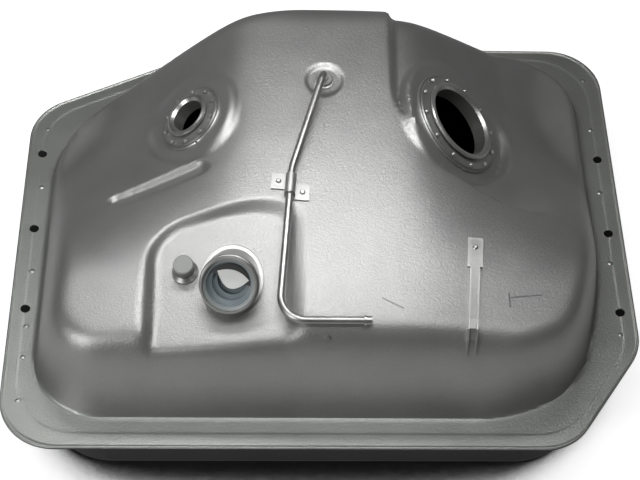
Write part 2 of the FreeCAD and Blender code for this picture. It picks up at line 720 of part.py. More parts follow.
# Pipe clamp: a strap bent over the pipe with an ear riveted to the roof on each side
clamp_up = surface_normal(clamp_point.x, clamp_point.y)
clamp_side = down_pipe.cross(clamp_up).normalize()
clamp_up = clamp_side.cross(down_pipe).normalize()
clamp_foot = clamp_point - clamp_up * (pipe_lift - size("2*fit_gap"))
clamp_frame = Placement(clamp_foot, Rotation(clamp_side, down_pipe * -1, clamp_up, "ZXY"))
strap = "pipe_radius + fit_gap + clamp_sheet"
lift = "pipe_radius + pipe_clearance"
lay_along = Rotation(Vector(1, 0, 0), -90)
half_run = size("clamp_length") / 2
arch = cylinder("clamp_arch", strap, "clamp_length", Placement(Vector(0, -half_run, size(lift)), lay_along))
legs = box("clamp_legs", "2*pipe_radius + 2*fit_gap + 2*clamp_sheet", "clamp_length", lift,
           at(-size(strap), -half_run, 0))
ear_reach = "pipe_radius + fit_gap + clamp_sheet + clamp_ear"
left_ear = box("clamp_left_ear", ear_reach, "0.8*clamp_length", "clamp_sheet",
               at(-size(ear_reach), size("clamp_stagger") - 0.8 * half_run, 0))
right_ear = box("clamp_right_ear", ear_reach, "0.8*clamp_length", "clamp_sheet",
                at(0, -size("clamp_stagger") - 0.8 * half_run, 0))
hollow = cylinder("clamp_hollow", "pipe_radius + fit_gap", "2*clamp_length",
                  Placement(Vector(0, -2 * half_run, size(lift)), lay_along))
gap_below = box("clamp_gap", "2*pipe_radius + 2*fit_gap", "2*clamp_length", lift,
                at(-size("pipe_radius + fit_gap"), -2 * half_run, 0))
outside = fused("clamp_outside", [arch, legs, left_ear, right_ear])
pieces.append(cut("pipe_clamp", outside, [hollow, gap_below], clamp_frame))
rivets = []
for side in (-1, 1):
    rivet = doc.addObject("Part::Cone", f"clamp_rivet_{side + 2}")
    rivet.setExpression("Radius1", formula("rivet_radius"))
    rivet.setExpression("Radius2", formula("0.6*rivet_radius"))
    rivet.setExpression("Height", formula("rivet_height"))
    rivet.Placement = at(side * (size(strap) + size("clamp_ear") / 2), -side * size("clamp_stagger"),
                         size("clamp_sheet"))
    rivets.append(rivet)
pieces.append(group("clamp_rivets", rivets, clamp_frame))


# Hose clip: a plate spot-welded to the roof with a channelled tongue bent down over the front shoulder
clip_x = size("clip_x")
clip_front, clip_back = from_front("clip_end_front"), from_front("clip_back_front")
tongue_half = size("clip_channel") / 2
plate_half = size("clip_plate_width") / 2


def clip_frame(y, lift):
    """A point on the clip's line at a height above the roof, and the way up there."""
    z = max(upper_surface(clip_x + side * plate_half, y) for side in (-1, 0, 1))
    normal = surface_normal(clip_x, y)
    normal = Vector(0, normal.y, normal.z).normalize()
    return Vector(clip_x, y, flange_top + z) + normal * lift, normal


def clip_strip(low, high, left, right, back=clip_back, front=clip_front):
    """A strip that follows the roof from back to front, between two heights above it."""
    ys = stations(front, back, 9.0)
    lower_points = [clip_frame(y, low)[0] + Vector(left, 0, 0) for y in ys]
    upper_points = [clip_frame(y, high)[0] + Vector(left, 0, 0) for y in ys]
    outline = lower_points + upper_points[::-1] + lower_points[:1]
    face = Part.Face(Part.makePolygon(outline))
    return face.extrude(Vector(right - left, 0, 0))


clip_sheet, clip_gap, clip_lip = size("clamp_sheet"), size("2*fit_gap"), size("clip_lip")
plate_front = clip_back - size("clip_plate")
clip = clip_strip(clip_gap, clip_gap + clip_lip, -plate_half, plate_half)
above = clip_gap + clip_sheet
room_above = clip_lip + 6
clip = clip.cut(clip_strip(above, above + room_above, clip_sheet - tongue_half, tongue_half - clip_sheet,
                           clip_back + 6, clip_front))
clip = clip.cut(clip_strip(above, above + room_above, -plate_half - 2, plate_half + 2,
                           clip_back + 6, plate_front - 3))
for side in (-1, 1):
    start = clip_x + (tongue_half if side > 0 else -plate_half - 2)
    clip = clip.cut(Part.makeBox(plate_half - tongue_half + 2, plate_front - clip_front + 30, 2 * size_crest,
                                 Vector(start, clip_front - 30, flange_top)))
clip_pivot = Vector(clip_x, (clip_front + clip_back) / 2, 0)
clip.rotate(clip_pivot, Vector(0, 0, 1), -size("clip_turn"))
pieces.append(add_shape("hose_clip", clip))


def stud(name, foot, normal, base_radius, top_radius, height):
    """A small turned stud standing square on a surface."""
    item = doc.addObject("Part::Cone", name)
    item.setExpression("Radius1", formula(base_radius))
    item.setExpression("Radius2", formula(top_radius))
    item.setExpression("Height", formula(height))
    item.Placement = Placement(foot, Rotation(Vector(0, 0, 1), normal))
    return item


spot_foot, spot_up = clip_frame(clip_back - size("clip_plate") / 3, clip_gap + clip_sheet + 0.1)
turn_clip = Rotation(Vector(0, 0, 1), -size("clip_turn"))
spot_foot = clip_pivot + turn_clip.multVec(spot_foot - clip_pivot)
spot = stud("clip_spot_weld", spot_foot, turn_clip.multVec(spot_up), "rivet_radius", "0.5*rivet_radius",
            "rivet_height")
spot.Label = "clip_spot_weld"
pieces.append(spot)
locator_up = surface_normal(size("stud_x"), from_front("stud_front"))
locator_foot = outer_point(size("stud_x"), from_front("stud_front")) - locator_up * 0.4
locator = stud("locating_stud", locator_foot, locator_up, "locating_radius", "0.6*locating_radius",
               "locating_height")
locator.Label = "locating_stud"
pieces.append(locator)

# Flange weld nuggets: small domes left by the projection welds along both ends of the flange
dots = []
dot_edge = size("weld_dot_edge")
dot_shares = {-1: (-0.8, -0.61, -0.47, -0.21, 0.21, 0.52), 1: (-0.49, -0.15, 0.21, 0.55, 0.83)}
for side, shares in dot_shares.items():
    for share in shares:
        dot = doc.addObject("Part::Cone", f"weld_dot_{len(dots) + 1}")
        dot.setExpression("Radius1", formula("weld_dot_radius"))
        dot.setExpression("Radius2", formula("0.5*weld_dot_radius"))
        dot.setExpression("Height", formula("weld_dot_height"))
        dot.Placement = at(side * (half_length - dot_edge), share * half_depth, flange_top)
        dots.append(dot)
pieces.append(group("flange_weld_dots", dots))

# Two baffles stand across the tank on the floor, each with three round passages and a welded foot
for name, side in (("left", -1), ("right", 1)):
    place = at(side * size("baffle_x"), 0, wall)
    half = size("baffle_length") / 2
    web = box(name + "_web", "sheet_wall", "baffle_length", "baffle_height", at(0, -half, 0))
    foot = box(name + "_foot", "baffle_foot", "baffle_length", "sheet_wall", at(0, -half, 0))
    lip = box(name + "_lip", "0.6*baffle_foot", "baffle_length", "sheet_wall",
              at(0, -half, size("baffle_height - sheet_wall")))
    plate = fused(name + "_plate", [web, foot, lip])
    passages = []
    for row in (-1, 0, 1):
        passages.append(cylinder(f"{name}_passage_{row + 2}", "baffle_hole_radius", "20*sheet_wall",
                                 Placement(Vector(-10 * wall, row * size("baffle_hole_pitch"),
                                                  size("0.5*baffle_height")), Rotation(Vector(0, 1, 0), 90))))
    pieces.append(cut(name + "_baffle", plate, passages, place))

# Swirl pot: an open cup on the floor that keeps fuel round the pickup, with ports low in its wall
pot_wall = turned("pot_wall", [
    ("0", "0"),
    ("pot_radius", "0"),
    ("pot_radius", "pot_height"),
    ("pot_radius - sheet_wall", "pot_height"),
    ("pot_radius - sheet_wall", "sheet_wall"),
    ("0", "sheet_wall"),
])
ports = []
for turn in (30, 150, 270):
    ports.append(cylinder(f"pot_port_{turn}", "pot_port_radius", "2*pot_radius",
                          Placement(Vector(0, 0, size("2*pot_port_radius")),
                                    Rotation(Vector(0, 0, 1), turn) * Rotation(Vector(0, 1, 0), 90))))
pot_floor = wall + size("floor_bead_depth")
pieces.append(cut("swirl_pot", pot_wall, ports, at(size("pot_x"), from_rear("pot_rear"), pot_floor)))

# Drain: a threaded boss on the raised pocket, its plug and its sealing washer
pocket_top = size("drain_pocket_depth") + wall
drain_at = at(pocket_centre.x, pocket_centre.y, pocket_top)
pieces.append(turned("drain_boss", [
    ("drain_thread_radius", "0"),
    ("drain_boss_radius", "0"),
    ("drain_boss_radius", "drain_boss_height - 1"),
    ("drain_boss_radius - 1", "drain_boss_height"),
    ("drain_thread_radius", "drain_boss_height"),
], drain_at))
pocket_under = at(pocket_centre.x, pocket_centre.y, size("drain_pocket_depth"))
pieces.append(turned("drain_washer", [
    ("drain_thread_radius", "-1*drain_washer"),
    ("drain_boss_radius", "-1*drain_washer"),
    ("drain_boss_radius", "0"),
    ("drain_thread_radius", "0"),
], pocket_under))
shank = cylinder("drain_shank", "drain_thread_radius - 0.1", "drain_boss_height + drain_washer + sheet_wall",
                 at(0, 0, -size("drain_washer")))
head = doc.addObject("Part::Prism", "drain_head")
head.Polygon = 6
head.setExpression("Circumradius", formula("0.577*drain_head_flats"))
head.setExpression("Height", formula("drain_head_height"))
head.Placement = at(0, 0, -size("drain_washer + drain_head_height"))
collar_disc = cylinder("drain_collar", "drain_boss_radius - 1", "1.5", at(0, 0, -size("drain_washer") - 1.5))
pieces.append(fused("drain_plug", [shank, head, collar_disc], pocket_under))


def finish():
    """Recompute, check every object, then write each piece."""
    doc.recompute()
    for item in doc.Objects:
        if "Invalid" in item.State or "Error" in item.State:
            raise RuntimeError(f"{item.Name} failed: {item.State}")
    for piece in pieces:
        if piece.Shape.isNull() or not piece.Shape.isValid():
            raise RuntimeError(f"{piece.Label} has no valid shape")
    os.makedirs("parts", exist_ok=True)
    for piece in pieces:
        piece.Shape.exportStep(f"parts/{piece.Label}.step")
        print(piece.Label, len(piece.Shape.Solids), round(piece.Shape.Volume))


finish()
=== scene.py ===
# Car fuel tank on a pale studio floor: a silver-painted upper pressing with its openings, filler neck
# and pipe, seam-welded to a black lower pan. Metres in the scene, millimetres in the shape functions.
import math

import bmesh
import bpy
import numpy as np
from mathutils import Matrix, Vector


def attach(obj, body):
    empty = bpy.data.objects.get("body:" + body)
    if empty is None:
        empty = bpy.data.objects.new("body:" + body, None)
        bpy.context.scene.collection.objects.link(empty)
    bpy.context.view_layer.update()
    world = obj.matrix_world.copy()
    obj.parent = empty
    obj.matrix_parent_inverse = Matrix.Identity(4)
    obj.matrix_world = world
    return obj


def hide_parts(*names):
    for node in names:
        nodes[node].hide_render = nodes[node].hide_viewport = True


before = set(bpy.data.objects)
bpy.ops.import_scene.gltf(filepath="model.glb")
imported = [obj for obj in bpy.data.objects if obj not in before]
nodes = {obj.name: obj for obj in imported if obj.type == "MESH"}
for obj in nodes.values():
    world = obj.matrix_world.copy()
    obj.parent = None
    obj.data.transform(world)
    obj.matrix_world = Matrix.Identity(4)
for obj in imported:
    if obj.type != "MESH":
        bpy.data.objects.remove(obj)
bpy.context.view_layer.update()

# Upper shell
# One deep-drawn steel sheet painted satin silver-grey: crest, shoulders, sunk pad, recess and bead,
# with a flat flange whose edge is folded over. Seam-welded to the lower shell along that flange.
MM = 0.001
SHEET = 1.2
SEAM = 118.0
FLANGE_TOP = SEAM + SHEET
HALF_LENGTH, HALF_DEPTH = 350.0, 282.0
FLANGE_CORNER, BODY_CORNER = 62.0, 75.0
FLANGE_WIDTH = 36
SHOULDER_RISE, CREST_RISE = 124, 162
RECESS_DEPTH, BEAD_DEPTH, DIMPLE_DEPTH = 13, 6, 3
BOLT_ROW, BOLT_PITCH, BOLT_HOLE = 333, 109, 5.5
flange_corners = [
    (-HALF_LENGTH, -HALF_DEPTH),
    (HALF_LENGTH - 88, -HALF_DEPTH),
    (HALF_LENGTH, -HALF_DEPTH + 124),
    (HALF_LENGTH, HALF_DEPTH),
    (-HALF_LENGTH + 222, HALF_DEPTH),
    (-HALF_LENGTH, HALF_DEPTH - 110),
]
borders = [41, 29, 39, 34, 36, 36]


def edge_lines(corners, insets):
    """Each side as a point on it and its inward normal, moved in by its own inset."""
    lines = []
    for index, (x0, y0) in enumerate(corners):
        x1, y1 = corners[(index + 1) % len(corners)]
        length = math.hypot(x1 - x0, y1 - y0)
        normal = (-(y1 - y0) / length, (x1 - x0) / length)
        lines.append(((x0 + normal[0] * insets[index], y0 + normal[1] * insets[index]), normal))
    return lines


def inset_corners(corners, insets):
    """The polygon whose sides lie inside the given ones by the insets."""
    lines = edge_lines(corners, insets)
    result = []
    for index, ((x1, y1), (a1, b1)) in enumerate(lines):
        (x0, y0), (a0, b0) = lines[index - 1]
        c0, c1 = a0 * x0 + b0 * y0, a1 * x1 + b1 * y1
        det = a0 * b1 - a1 * b0
        result.append(((c0 * b1 - c1 * b0) / det, (a0 * c1 - a1 * c0) / det))
    return result


def rounded_outline(corners, radius, arc_steps, side_steps):
    """Points round a polygon with rounded corners: the same number on every arc and on every side."""
    points = []
    arcs = []
    for index, corner in enumerate(corners):
        before = np.array(corners[index - 1]) - corner
        after = np.array(corners[(index + 1) % len(corners)]) - corner
        before, after = before / np.linalg.norm(before), after / np.linalg.norm(after)
        half_angle = math.acos(float(np.dot(before, after))) / 2
        start = np.array(corner) + before * radius / math.tan(half_angle)
        end = np.array(corner) + after * radius / math.tan(half_angle)
        middle = before + after
        centre = np.array(corner) + middle / np.linalg.norm(middle) * radius / math.sin(half_angle)
        sweep = math.pi - 2 * half_angle
        first = math.atan2(*(start - centre)[::-1])
        turns = [first + sweep * k / arc_steps for k in range(arc_steps + 1)]
        arc = [centre + radius * np.array([math.cos(angle), math.sin(angle)]) for angle in turns]
        arcs.append((arc, end))
    for index, (arc, end) in enumerate(arcs):
        following = arcs[(index + 1) % len(arcs)][0][0]
        steps = side_steps[index]
        points.extend(arc)
        points.extend(end + (following - end) * k / steps for k in range(1, steps))
    return np.array(points)


def smooth_step(value):
    value = np.clip(value, 0.0, 1.0)
    return value * value * (3.0 - 2.0 * value)


def soft_ramp(value, rounding):
    return 0.5 * (value + np.hypot(value, rounding))


def fillet_ramp(value, reach):
    """Zero below -reach, the value itself above reach, and a parabola between."""
    middle = (value + reach) ** 2 / (4 * reach)
    return np.where(value < -reach, 0.0, np.where(value > reach, value, middle))


def round_min(first, second, radius):
    corner = np.hypot(np.maximum(radius - first, 0), np.maximum(radius - second, 0))
    return np.maximum(radius, np.minimum(first, second)) - corner


def distance_in(lines, radius, x, y):
    """How far each point lies inside a polygon with rounded corners."""
    result = None
    for (px, py), (nx, ny) in lines:
        gap = (x - px) * nx + (y - py) * ny
        result = gap if result is None else round_min(result, gap, radius)
    return result


body_corners = inset_corners(flange_corners, borders)
body_lines = edge_lines(flange_corners, borders)
body_front_y, body_rear_y = body_corners[0][1], body_corners[3][1]
crest_y, shoulder_y = body_rear_y - 50, body_front_y + 70
recess_lines = [((74, 0), (1, 0)), ((123.4, 6.4), (0.654, 0.757)), ((0, -44), (0, 1))]
pad_lines = [((-188, 0), (1, 0)), ((-36, 0), (-0.42, 0)), ((-103, -61.4), (0.263, -0.965))]


def roof_height(x, y):
    """The crest, its fall to the front shoulder, and the slopes down to both ends."""
    along = (y - shoulder_y) / (crest_y - shoulder_y)
    middle = SHOULDER_RISE + (CREST_RISE - SHOULDER_RISE) * along
    turn = smooth_step((y - shoulder_y - 20) / (crest_y - shoulder_y - 20))
    lean = 0.1 + 0.8 * turn
    side = soft_ramp(-97 - x, 26) + soft_ramp(x - 100, 26)
    return 22 + soft_ramp(middle - lean * side - 22, 12)


def pad_plane(x, y):
    return 112 + 0.14 * (y + 143) + 0.1 * (x + 112)


def pressed_body(x, y):
    """Height of the pressed form above the flange."""
    roof = roof_height(x, y)
    reach = 0.52 * roof
    inside = fillet_ramp(distance_in(body_lines, BODY_CORNER, x, y), 5.0)
    z = roof * (1 - (1 - np.minimum(inside / reach, 1.0)) ** 4)
    edge = distance_in(recess_lines, 40, x, y)
    fade = 1 - smooth_step((x - 205) / 55)
    z = z - RECESS_DEPTH * smooth_step((edge + 3) / 9) * fade * np.clip(z / 60, 0, 1)
    edge = distance_in(pad_lines, 36, x, y)
    above = z - pad_plane(x, y)
    z = z - smooth_step(0.5 + edge / 12) * soft_ramp(above, 7)
    along = np.clip((x + 229) * 0.957 + (y + 29.5) * 0.289, 0, 92)
    aside = np.hypot(x + 229 - 0.957 * along, y + 29.5 - 0.289 * along)
    z = z - BEAD_DEPTH * (1 - smooth_step((aside - 5) / 7))
    z = z - DIMPLE_DEPTH * (1 - smooth_step((np.hypot(x + 3, y - 101) - 17) / 6))
    return z


def seat(x, y, tilt):
    """The frame of a flat ring seat pressed in a slope, tilted about Y."""
    z = float(pressed_body(np.array([x]), np.array([y]))[0])
    return Matrix.Translation((x, y, z)) @ Matrix.Rotation(math.radians(tilt), 4, "Y")


pump_seat, sender_seat = seat(148, 78, 41), seat(-151, 74, -37)


def flatten(x, y, z, frame_of_seat, radius):
    """The surface pressed flat round a ring's seat."""
    normal = frame_of_seat.col[2]
    origin = frame_of_seat.translation
    plane = origin.z - (normal[0] * (x - origin.x) + normal[1] * (y - origin.y)) / normal[2]
    away = np.sqrt((x - origin.x) ** 2 + (y - origin.y) ** 2 + (plane - origin.z) ** 2)
    return z + (plane - z) * (1 - smooth_step((away - radius) / 18))


def shell_height(x, y):
    """Height above the flange: the pressed body with its ring seats."""
    z = pressed_body(x, y)
    return np.where(x > 0, flatten(x, y, z, pump_seat, 74), flatten(x, y, z, sender_seat, 52))


def flange_form(x, y, from_edge):
    """The folded lip at the flange's edge and the shallow step behind it."""
    lip = 1.1 * smooth_step(1 - np.abs(from_edge - 1.6) / 2.2)
    joggle = -0.5 * smooth_step((from_edge - 15) / 2.0)
    body = distance_in(body_lines, BODY_CORNER, x, y)
    return lip + joggle * smooth_step((-body - 3) / 3)


arc_steps = 16
side_steps = [92, 18, 60, 68, 36, 68]
flange_loop = rounded_outline(flange_corners, FLANGE_CORNER, arc_steps, side_steps)
body_loop = rounded_outline(body_corners, BODY_CORNER, arc_steps, side_steps)
centre = np.array([0.0, 10.0])
across = [0.0, 0.015, 0.03, 0.045, 0.06, 0.08, 0.1, 0.12, 0.2, 0.3, 0.4, 0.43, 0.46, 0.49, 0.56, 0.66, 0.76,
          0.84, 0.9, 0.95, 1.0]
inward = [0.006, 0.012, 0.019, 0.027, 0.036, 0.046, 0.057, 0.07, 0.084, 0.1]
inward += list(np.linspace(0.111, 0.985, 81))
rings = [flange_loop + (body_loop - flange_loop) * share for share in across]
rings += [body_loop + (centre - body_loop) * share for share in inward]
plan = np.concatenate(rings)
count = len(flange_loop)
holes = [(pump_seat, 44.0), (sender_seat, 22.0)]


def snap_to_hole(plan, frame_of_seat, radius, band=2.6):
    """Moves the points nearest a round hole in a sloping seat on to its edge."""
    inverse = frame_of_seat.inverted()
    result = plan.copy()
    x, y = plan[:, 0], plan[:, 1]
    z = shell_height(x, y)
    rows = np.array(inverse)[:2]
    local = rows[:, :3] @ np.array([x, y, z]) + rows[:, 3:4]
    away = np.hypot(local[0], local[1])
    near = np.abs(away - radius) < band
    scale = radius / away[near]
    moved = np.array(frame_of_seat)[:2, :2] @ (local[:, near] * scale)
    result[near, 0] = moved[0] + frame_of_seat.translation.x
    result[near, 1] = moved[1] + frame_of_seat.translation.y
    return result, away


neck_axis = Vector((-0.0713, -0.6783, 0.7314)).normalized()
neck_base = Vector((-102, -143, 113.2))
neck_frame = Matrix.Translation(neck_base) @ neck_axis.to_track_quat("Z", "Y").to_matrix().to_4x4()
inside_hole = np.zeros(len(plan), bool)
for frame_of_seat, radius in holes:
    plan, away = snap_to_hole(plan, frame_of_seat, radius)
    inside_hole |= away < radius - 0.01
from_edge = np.repeat(across + [1.0] * len(inward), count) * FLANGE_WIDTH
height = shell_height(plan[:, 0], plan[:, 1]) + flange_form(plan[:, 0], plan[:, 1], from_edge)
neck_local = np.array(neck_frame.inverted())[:2, :3] @ np.array([plan[:, 0], plan[:, 1], height])
neck_local = neck_local + np.array(neck_frame.inverted())[:2, 3:4]
inside_hole |= np.hypot(neck_local[0], neck_local[1]) < 26.5
points = np.column_stack([plan, height + FLANGE_TOP]) * MM
faces = []
for ring in range(len(rings) - 1):
    for step in range(count):
        following = (step + 1) % count
        face = (ring * count + step, ring * count + following,
                (ring + 1) * count + following, (ring + 1) * count + step)
        if not any(inside_hole[corner] for corner in face):
            faces.append(face)
faces.append(tuple((len(rings) - 1) * count + step for step in range(count)))


def mesh_object(name, points, faces, smooth_angle=40):
    """A mesh object at the origin, shaded smooth up to an angle, without loose points."""
    mesh = bpy.data.meshes.new(name)
    mesh.from_pydata([tuple(p) for p in points], [], faces)
    work = bmesh.new()
    work.from_mesh(mesh)
    bmesh.ops.delete(work, geom=[v for v in work.verts if not v.link_faces], context="VERTS")
    bmesh.ops.recalc_face_normals(work, faces=work.faces)
    work.to_mesh(mesh)
    work.free()
    mesh.shade_smooth()
    mesh.set_sharp_from_angle(angle=math.radians(smooth_angle))
    item = bpy.data.objects.new(name, mesh)
    bpy.context.collection.objects.link(item)
    return item


def settle(item):
    """Turns an object's modifiers into a plain mesh."""
    graph = bpy.context.evaluated_depsgraph_get()
    mesh = bpy.data.meshes.new_from_object(item.evaluated_get(graph))
    item.modifiers.clear()
    item.data = mesh
    return item


upper_shell = mesh_object("upper_shell_look", points, faces)
if upper_shell.data.polygons[0].normal.z < 0:
    upper_shell.data.flip_normals()
thickness = upper_shell.modifiers.new("sheet", "SOLIDIFY")
thickness.thickness = SHEET * MM
thickness.offset = -1
settle(upper_shell)


def cylinder_points(radius, low, high, segments):
    """Points and faces of a capped cylinder along Z."""
    turn = [2 * math.pi * k / segments for k in range(segments)]
    points = [(radius * math.cos(a), radius * math.sin(a), z) for z in (low, high) for a in turn]
    faces = [(k, (k + 1) % segments, segments + (k + 1) % segments, segments + k) for k in range(segments)]
    faces += [tuple(range(segments))[::-1], tuple(range(segments, 2 * segments))]
    return points, faces


bolt_points, bolt_faces = [], []
for x in (-BOLT_ROW, BOLT_ROW):
    for y in (-BOLT_PITCH, 0, BOLT_PITCH):
        ring_points, ring_faces = cylinder_points(BOLT_HOLE, SEAM - 6, FLANGE_TOP + 6, 32)
        base = len(bolt_points)
        bolt_points += [((px + x) * MM, (py + y) * MM, pz * MM) for px, py, pz in ring_points]
        bolt_faces += [tuple(k + base for k in face) for face in ring_faces]
bolt_cutter = mesh_object("bolt_cutter", bolt_points, bolt_faces)
drill = upper_shell.modifiers.new("bolt_holes", "BOOLEAN")
drill.operation = "DIFFERENCE"
drill.solver = "EXACT"
drill.object = bolt_cutter
settle(upper_shell)
bpy.data.objects.remove(bolt_cutter)
upper_shell.data.set_sharp_from_angle(angle=math.radians(40))


def socket(tree, direction, kind, name, value=None):
    """A named socket on a node group."""
    item = tree.interface.new_socket(name, in_out=direction, socket_type="NodeSocket" + kind)
    if value is not None:
        item.default_value = value
    return item


def link(tree, source, output, target, entry):
    tree.links.new(source.outputs[output], target.inputs[entry])


def new_node(tree, kind, x, y, **values):
    """A node at a place, with its input values given by socket name."""
    node = tree.nodes.new(kind)
    node.location = (x, y)
    for name, value in values.items():
        node.inputs[name.replace("_", " ")].default_value = value
    return node


# Shared surface effects: a colour cloud, a fine grain, worn edges, and the bump that goes with them
wear = bpy.data.node_groups.new("surface_wear", "ShaderNodeTree")
socket(wear, "INPUT", "Float", "Cloud scale", 9.0)
socket(wear, "INPUT", "Float", "Grain scale", 900.0)
socket(wear, "INPUT", "Float", "Grain height", 0.1)
socket(wear, "OUTPUT", "Float", "Cloud")
socket(wear, "OUTPUT", "Float", "Grain")
socket(wear, "OUTPUT", "Float", "Edge")
socket(wear, "OUTPUT", "Vector", "Normal")
wear_in = new_node(wear, "NodeGroupInput", -900, 0)
wear_out = new_node(wear, "NodeGroupOutput", 500, 0)
place = new_node(wear, "ShaderNodeTexCoord", -900, 300)
cloud = new_node(wear, "ShaderNodeTexNoise", -600, 300, Detail=5.0, Roughness=0.6)
grain = new_node(wear, "ShaderNodeTexNoise", -600, 0, Detail=3.0, Roughness=0.7)
shape = new_node(wear, "ShaderNodeNewGeometry", -600, -300)
edge_range = new_node(wear, "ShaderNodeMapRange", -300, -300)
edge_range.inputs["From Min"].default_value = 0.52
edge_range.inputs["From Max"].default_value = 0.6
bump = new_node(wear, "ShaderNodeBump", 100, -100, Distance=0.0004)
link(wear, place, "Object", cloud, "Vector")
link(wear, place, "Object", grain, "Vector")
link(wear, wear_in, "Cloud scale", cloud, "Scale")
link(wear, wear_in, "Grain scale", grain, "Scale")
link(wear, shape, "Pointiness", edge_range, "Value")
link(wear, grain, "Fac", bump, "Height")
link(wear, wear_in, "Grain height", bump, "Strength")
link(wear, cloud, "Fac", wear_out, "Cloud")
link(wear, grain, "Fac", wear_out, "Grain")
link(wear, edge_range, "Result", wear_out, "Edge")
link(wear, bump, "Normal", wear_out, "Normal")


def surface(name, dark, light, edge, metallic, roughness,
            grain_scale=900.0, grain_height=0.1, cloud_scale=9.0):
    """A worn finish: two tones in clouds with a fine grain, a third tone on edges, and varied roughness."""
    material = bpy.data.materials.new(name)
    material.use_nodes = True
    tree = material.node_tree
    shader = tree.nodes["Principled BSDF"]
    shader.inputs["Metallic"].default_value = metallic
    group = new_node(tree, "ShaderNodeGroup", -900, 0)
    group.node_tree = wear
    group.inputs["Cloud scale"].default_value = cloud_scale
    group.inputs["Grain scale"].default_value = grain_scale
    group.inputs["Grain height"].default_value = grain_height
    blend = new_node(tree, "ShaderNodeMath", -700, 250)
    blend.operation = "MULTIPLY_ADD"
    blend.inputs[1].default_value = 0.35
    tones = new_node(tree, "ShaderNodeValToRGB", -500, 200)
    tones.color_ramp.elements[0].position = 0.5
    tones.color_ramp.elements[0].color = (*dark, 1)
    tones.color_ramp.elements[1].position = 0.85
    tones.color_ramp.elements[1].color = (*light, 1)
    worn = new_node(tree, "ShaderNodeMix", -200, 200)
    worn.data_type = "RGBA"
    worn.inputs["B"].default_value = (*edge, 1)
    rough = new_node(tree, "ShaderNodeMapRange", -500, -200)
    rough.inputs["To Min"].default_value = roughness - 0.06
    rough.inputs["To Max"].default_value = roughness + 0.08
    link(tree, group, "Grain", blend, 0)
    link(tree, group, "Cloud", blend, 2)
    link(tree, blend, "Value", tones, "Fac")
    link(tree, tones, "Color", worn, "A")
    link(tree, group, "Edge", worn, "Factor")
    link(tree, group, "Cloud", rough, "Value")
    link(tree, worn, "Result", shader, "Base Color")
    link(tree, rough, "Result", shader, "Roughness")
    link(tree, group, "Normal", shader, "Normal")
    return material


def finish_piece(item, material, node=None):
    """Gives a piece its material, its place on the tank and the node that it stands for."""
    item.data.materials.clear()
    item.data.materials.append(material)
    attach(item, "root")
    if node:
        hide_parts(node)


def tone_by_height(material, low, high, tone):
    """Tints a finish below one height, with a soft edge up to another."""
    tree = material.node_tree
    shader = tree.nodes["Principled BSDF"]
    painted = shader.inputs["Base Color"].links[0].from_socket
    place = new_node(tree, "ShaderNodeTexCoord", -500, 600)
    split = new_node(tree, "ShaderNodeSeparateXYZ", -300, 600)
    level = new_node(tree, "ShaderNodeMapRange", -100, 600)
    level.inputs["From Min"].default_value = low
    level.inputs["From Max"].default_value = high
    tinted = new_node(tree, "ShaderNodeMix", 0, 400)
    tinted.data_type = "RGBA"
    tinted.blend_type = "MULTIPLY"
    tinted.inputs["Factor"].default_value = 1.0
    tint = new_node(tree, "ShaderNodeMix", -100, 400)
    tint.data_type = "RGBA"
    tint.inputs["A"].default_value = (*tone, 1)
    tint.inputs["B"].default_value = (1, 1, 1, 1)
    link(tree, place, "Object", split, "Vector")
    link(tree, split, "Z", level, "Value")
    link(tree, level, "Result", tint, "Factor")
    tree.links.new(painted, tinted.inputs["A"])
    link(tree, tint, "Result", tinted, "B")
    link(tree, tinted, "Result", shader, "Base Color")


# Short scuffs through the paint: how near each point lies to any of a few lines
scuffs = bpy.data.node_groups.new("paint_scuffs", "ShaderNodeTree")
socket(scuffs, "OUTPUT", "Float", "Scuff")
scuffs_out = new_node(scuffs, "NodeGroupOutput", 1100, 0)
scuffs_place = new_node(scuffs, "ShaderNodeTexCoord", -900, 0)
nearest = None
scuff_lines = [(54, -172, 75, -183), (187, -160, 187, -176), (189, -165, 221, -160)]
for row, (x0, y0, x1, y1) in enumerate(scuff_lines):
    level_y = -400 * row
    local = new_node(scuffs, "ShaderNodeMapping", -700, level_y)
    local.vector_type = "TEXTURE"
    local.inputs["Location"].default_value = ((x0 + x1) / 2 * MM, (y0 + y1) / 2 * MM, 0)
    local.inputs["Rotation"].default_value = (0, 0, math.atan2(y1 - y0, x1 - x0))
    parts = new_node(scuffs, "ShaderNodeSeparateXYZ", -500, level_y)
    along = new_node(scuffs, "ShaderNodeMath", -300, level_y)
    along.operation = "ABSOLUTE"
    past = new_node(scuffs, "ShaderNodeMath", -100, level_y)
    past.operation = "SUBTRACT"
    past.inputs[1].default_value = math.hypot(x1 - x0, y1 - y0) / 2 * MM
    past.use_clamp = True
    away = new_node(scuffs, "ShaderNodeCombineXYZ", 100, level_y)
    reach = new_node(scuffs, "ShaderNodeVectorMath", 300, level_y)
    reach.operation = "LENGTH"
    mask = new_node(scuffs, "ShaderNodeMapRange", 500, level_y)
    mask.inputs["From Min"].default_value = 0.0013
    mask.inputs["From Max"].default_value = 0.0002
    link(scuffs, scuffs_place, "Object", local, "Vector")
    link(scuffs, local, "Vector", parts, "Vector")
    link(scuffs, parts, "X", along, 0)
    link(scuffs, along, "Value", past, 0)
    link(scuffs, past, "Value", away, "X")
    link(scuffs, parts, "Y", away, "Y")
    link(scuffs, away, "Vector", reach, 0)
    link(scuffs, reach, "Value", mask, "Value")
    if nearest is None:
        nearest = mask
    else:
        either = new_node(scuffs, "ShaderNodeMath", 800, level_y)
        either.operation = "MAXIMUM"
        link(scuffs, nearest, 0, either, 0)
        link(scuffs, mask, "Result", either, 1)
        nearest = either
link(scuffs, nearest, 0, scuffs_out, "Scuff")


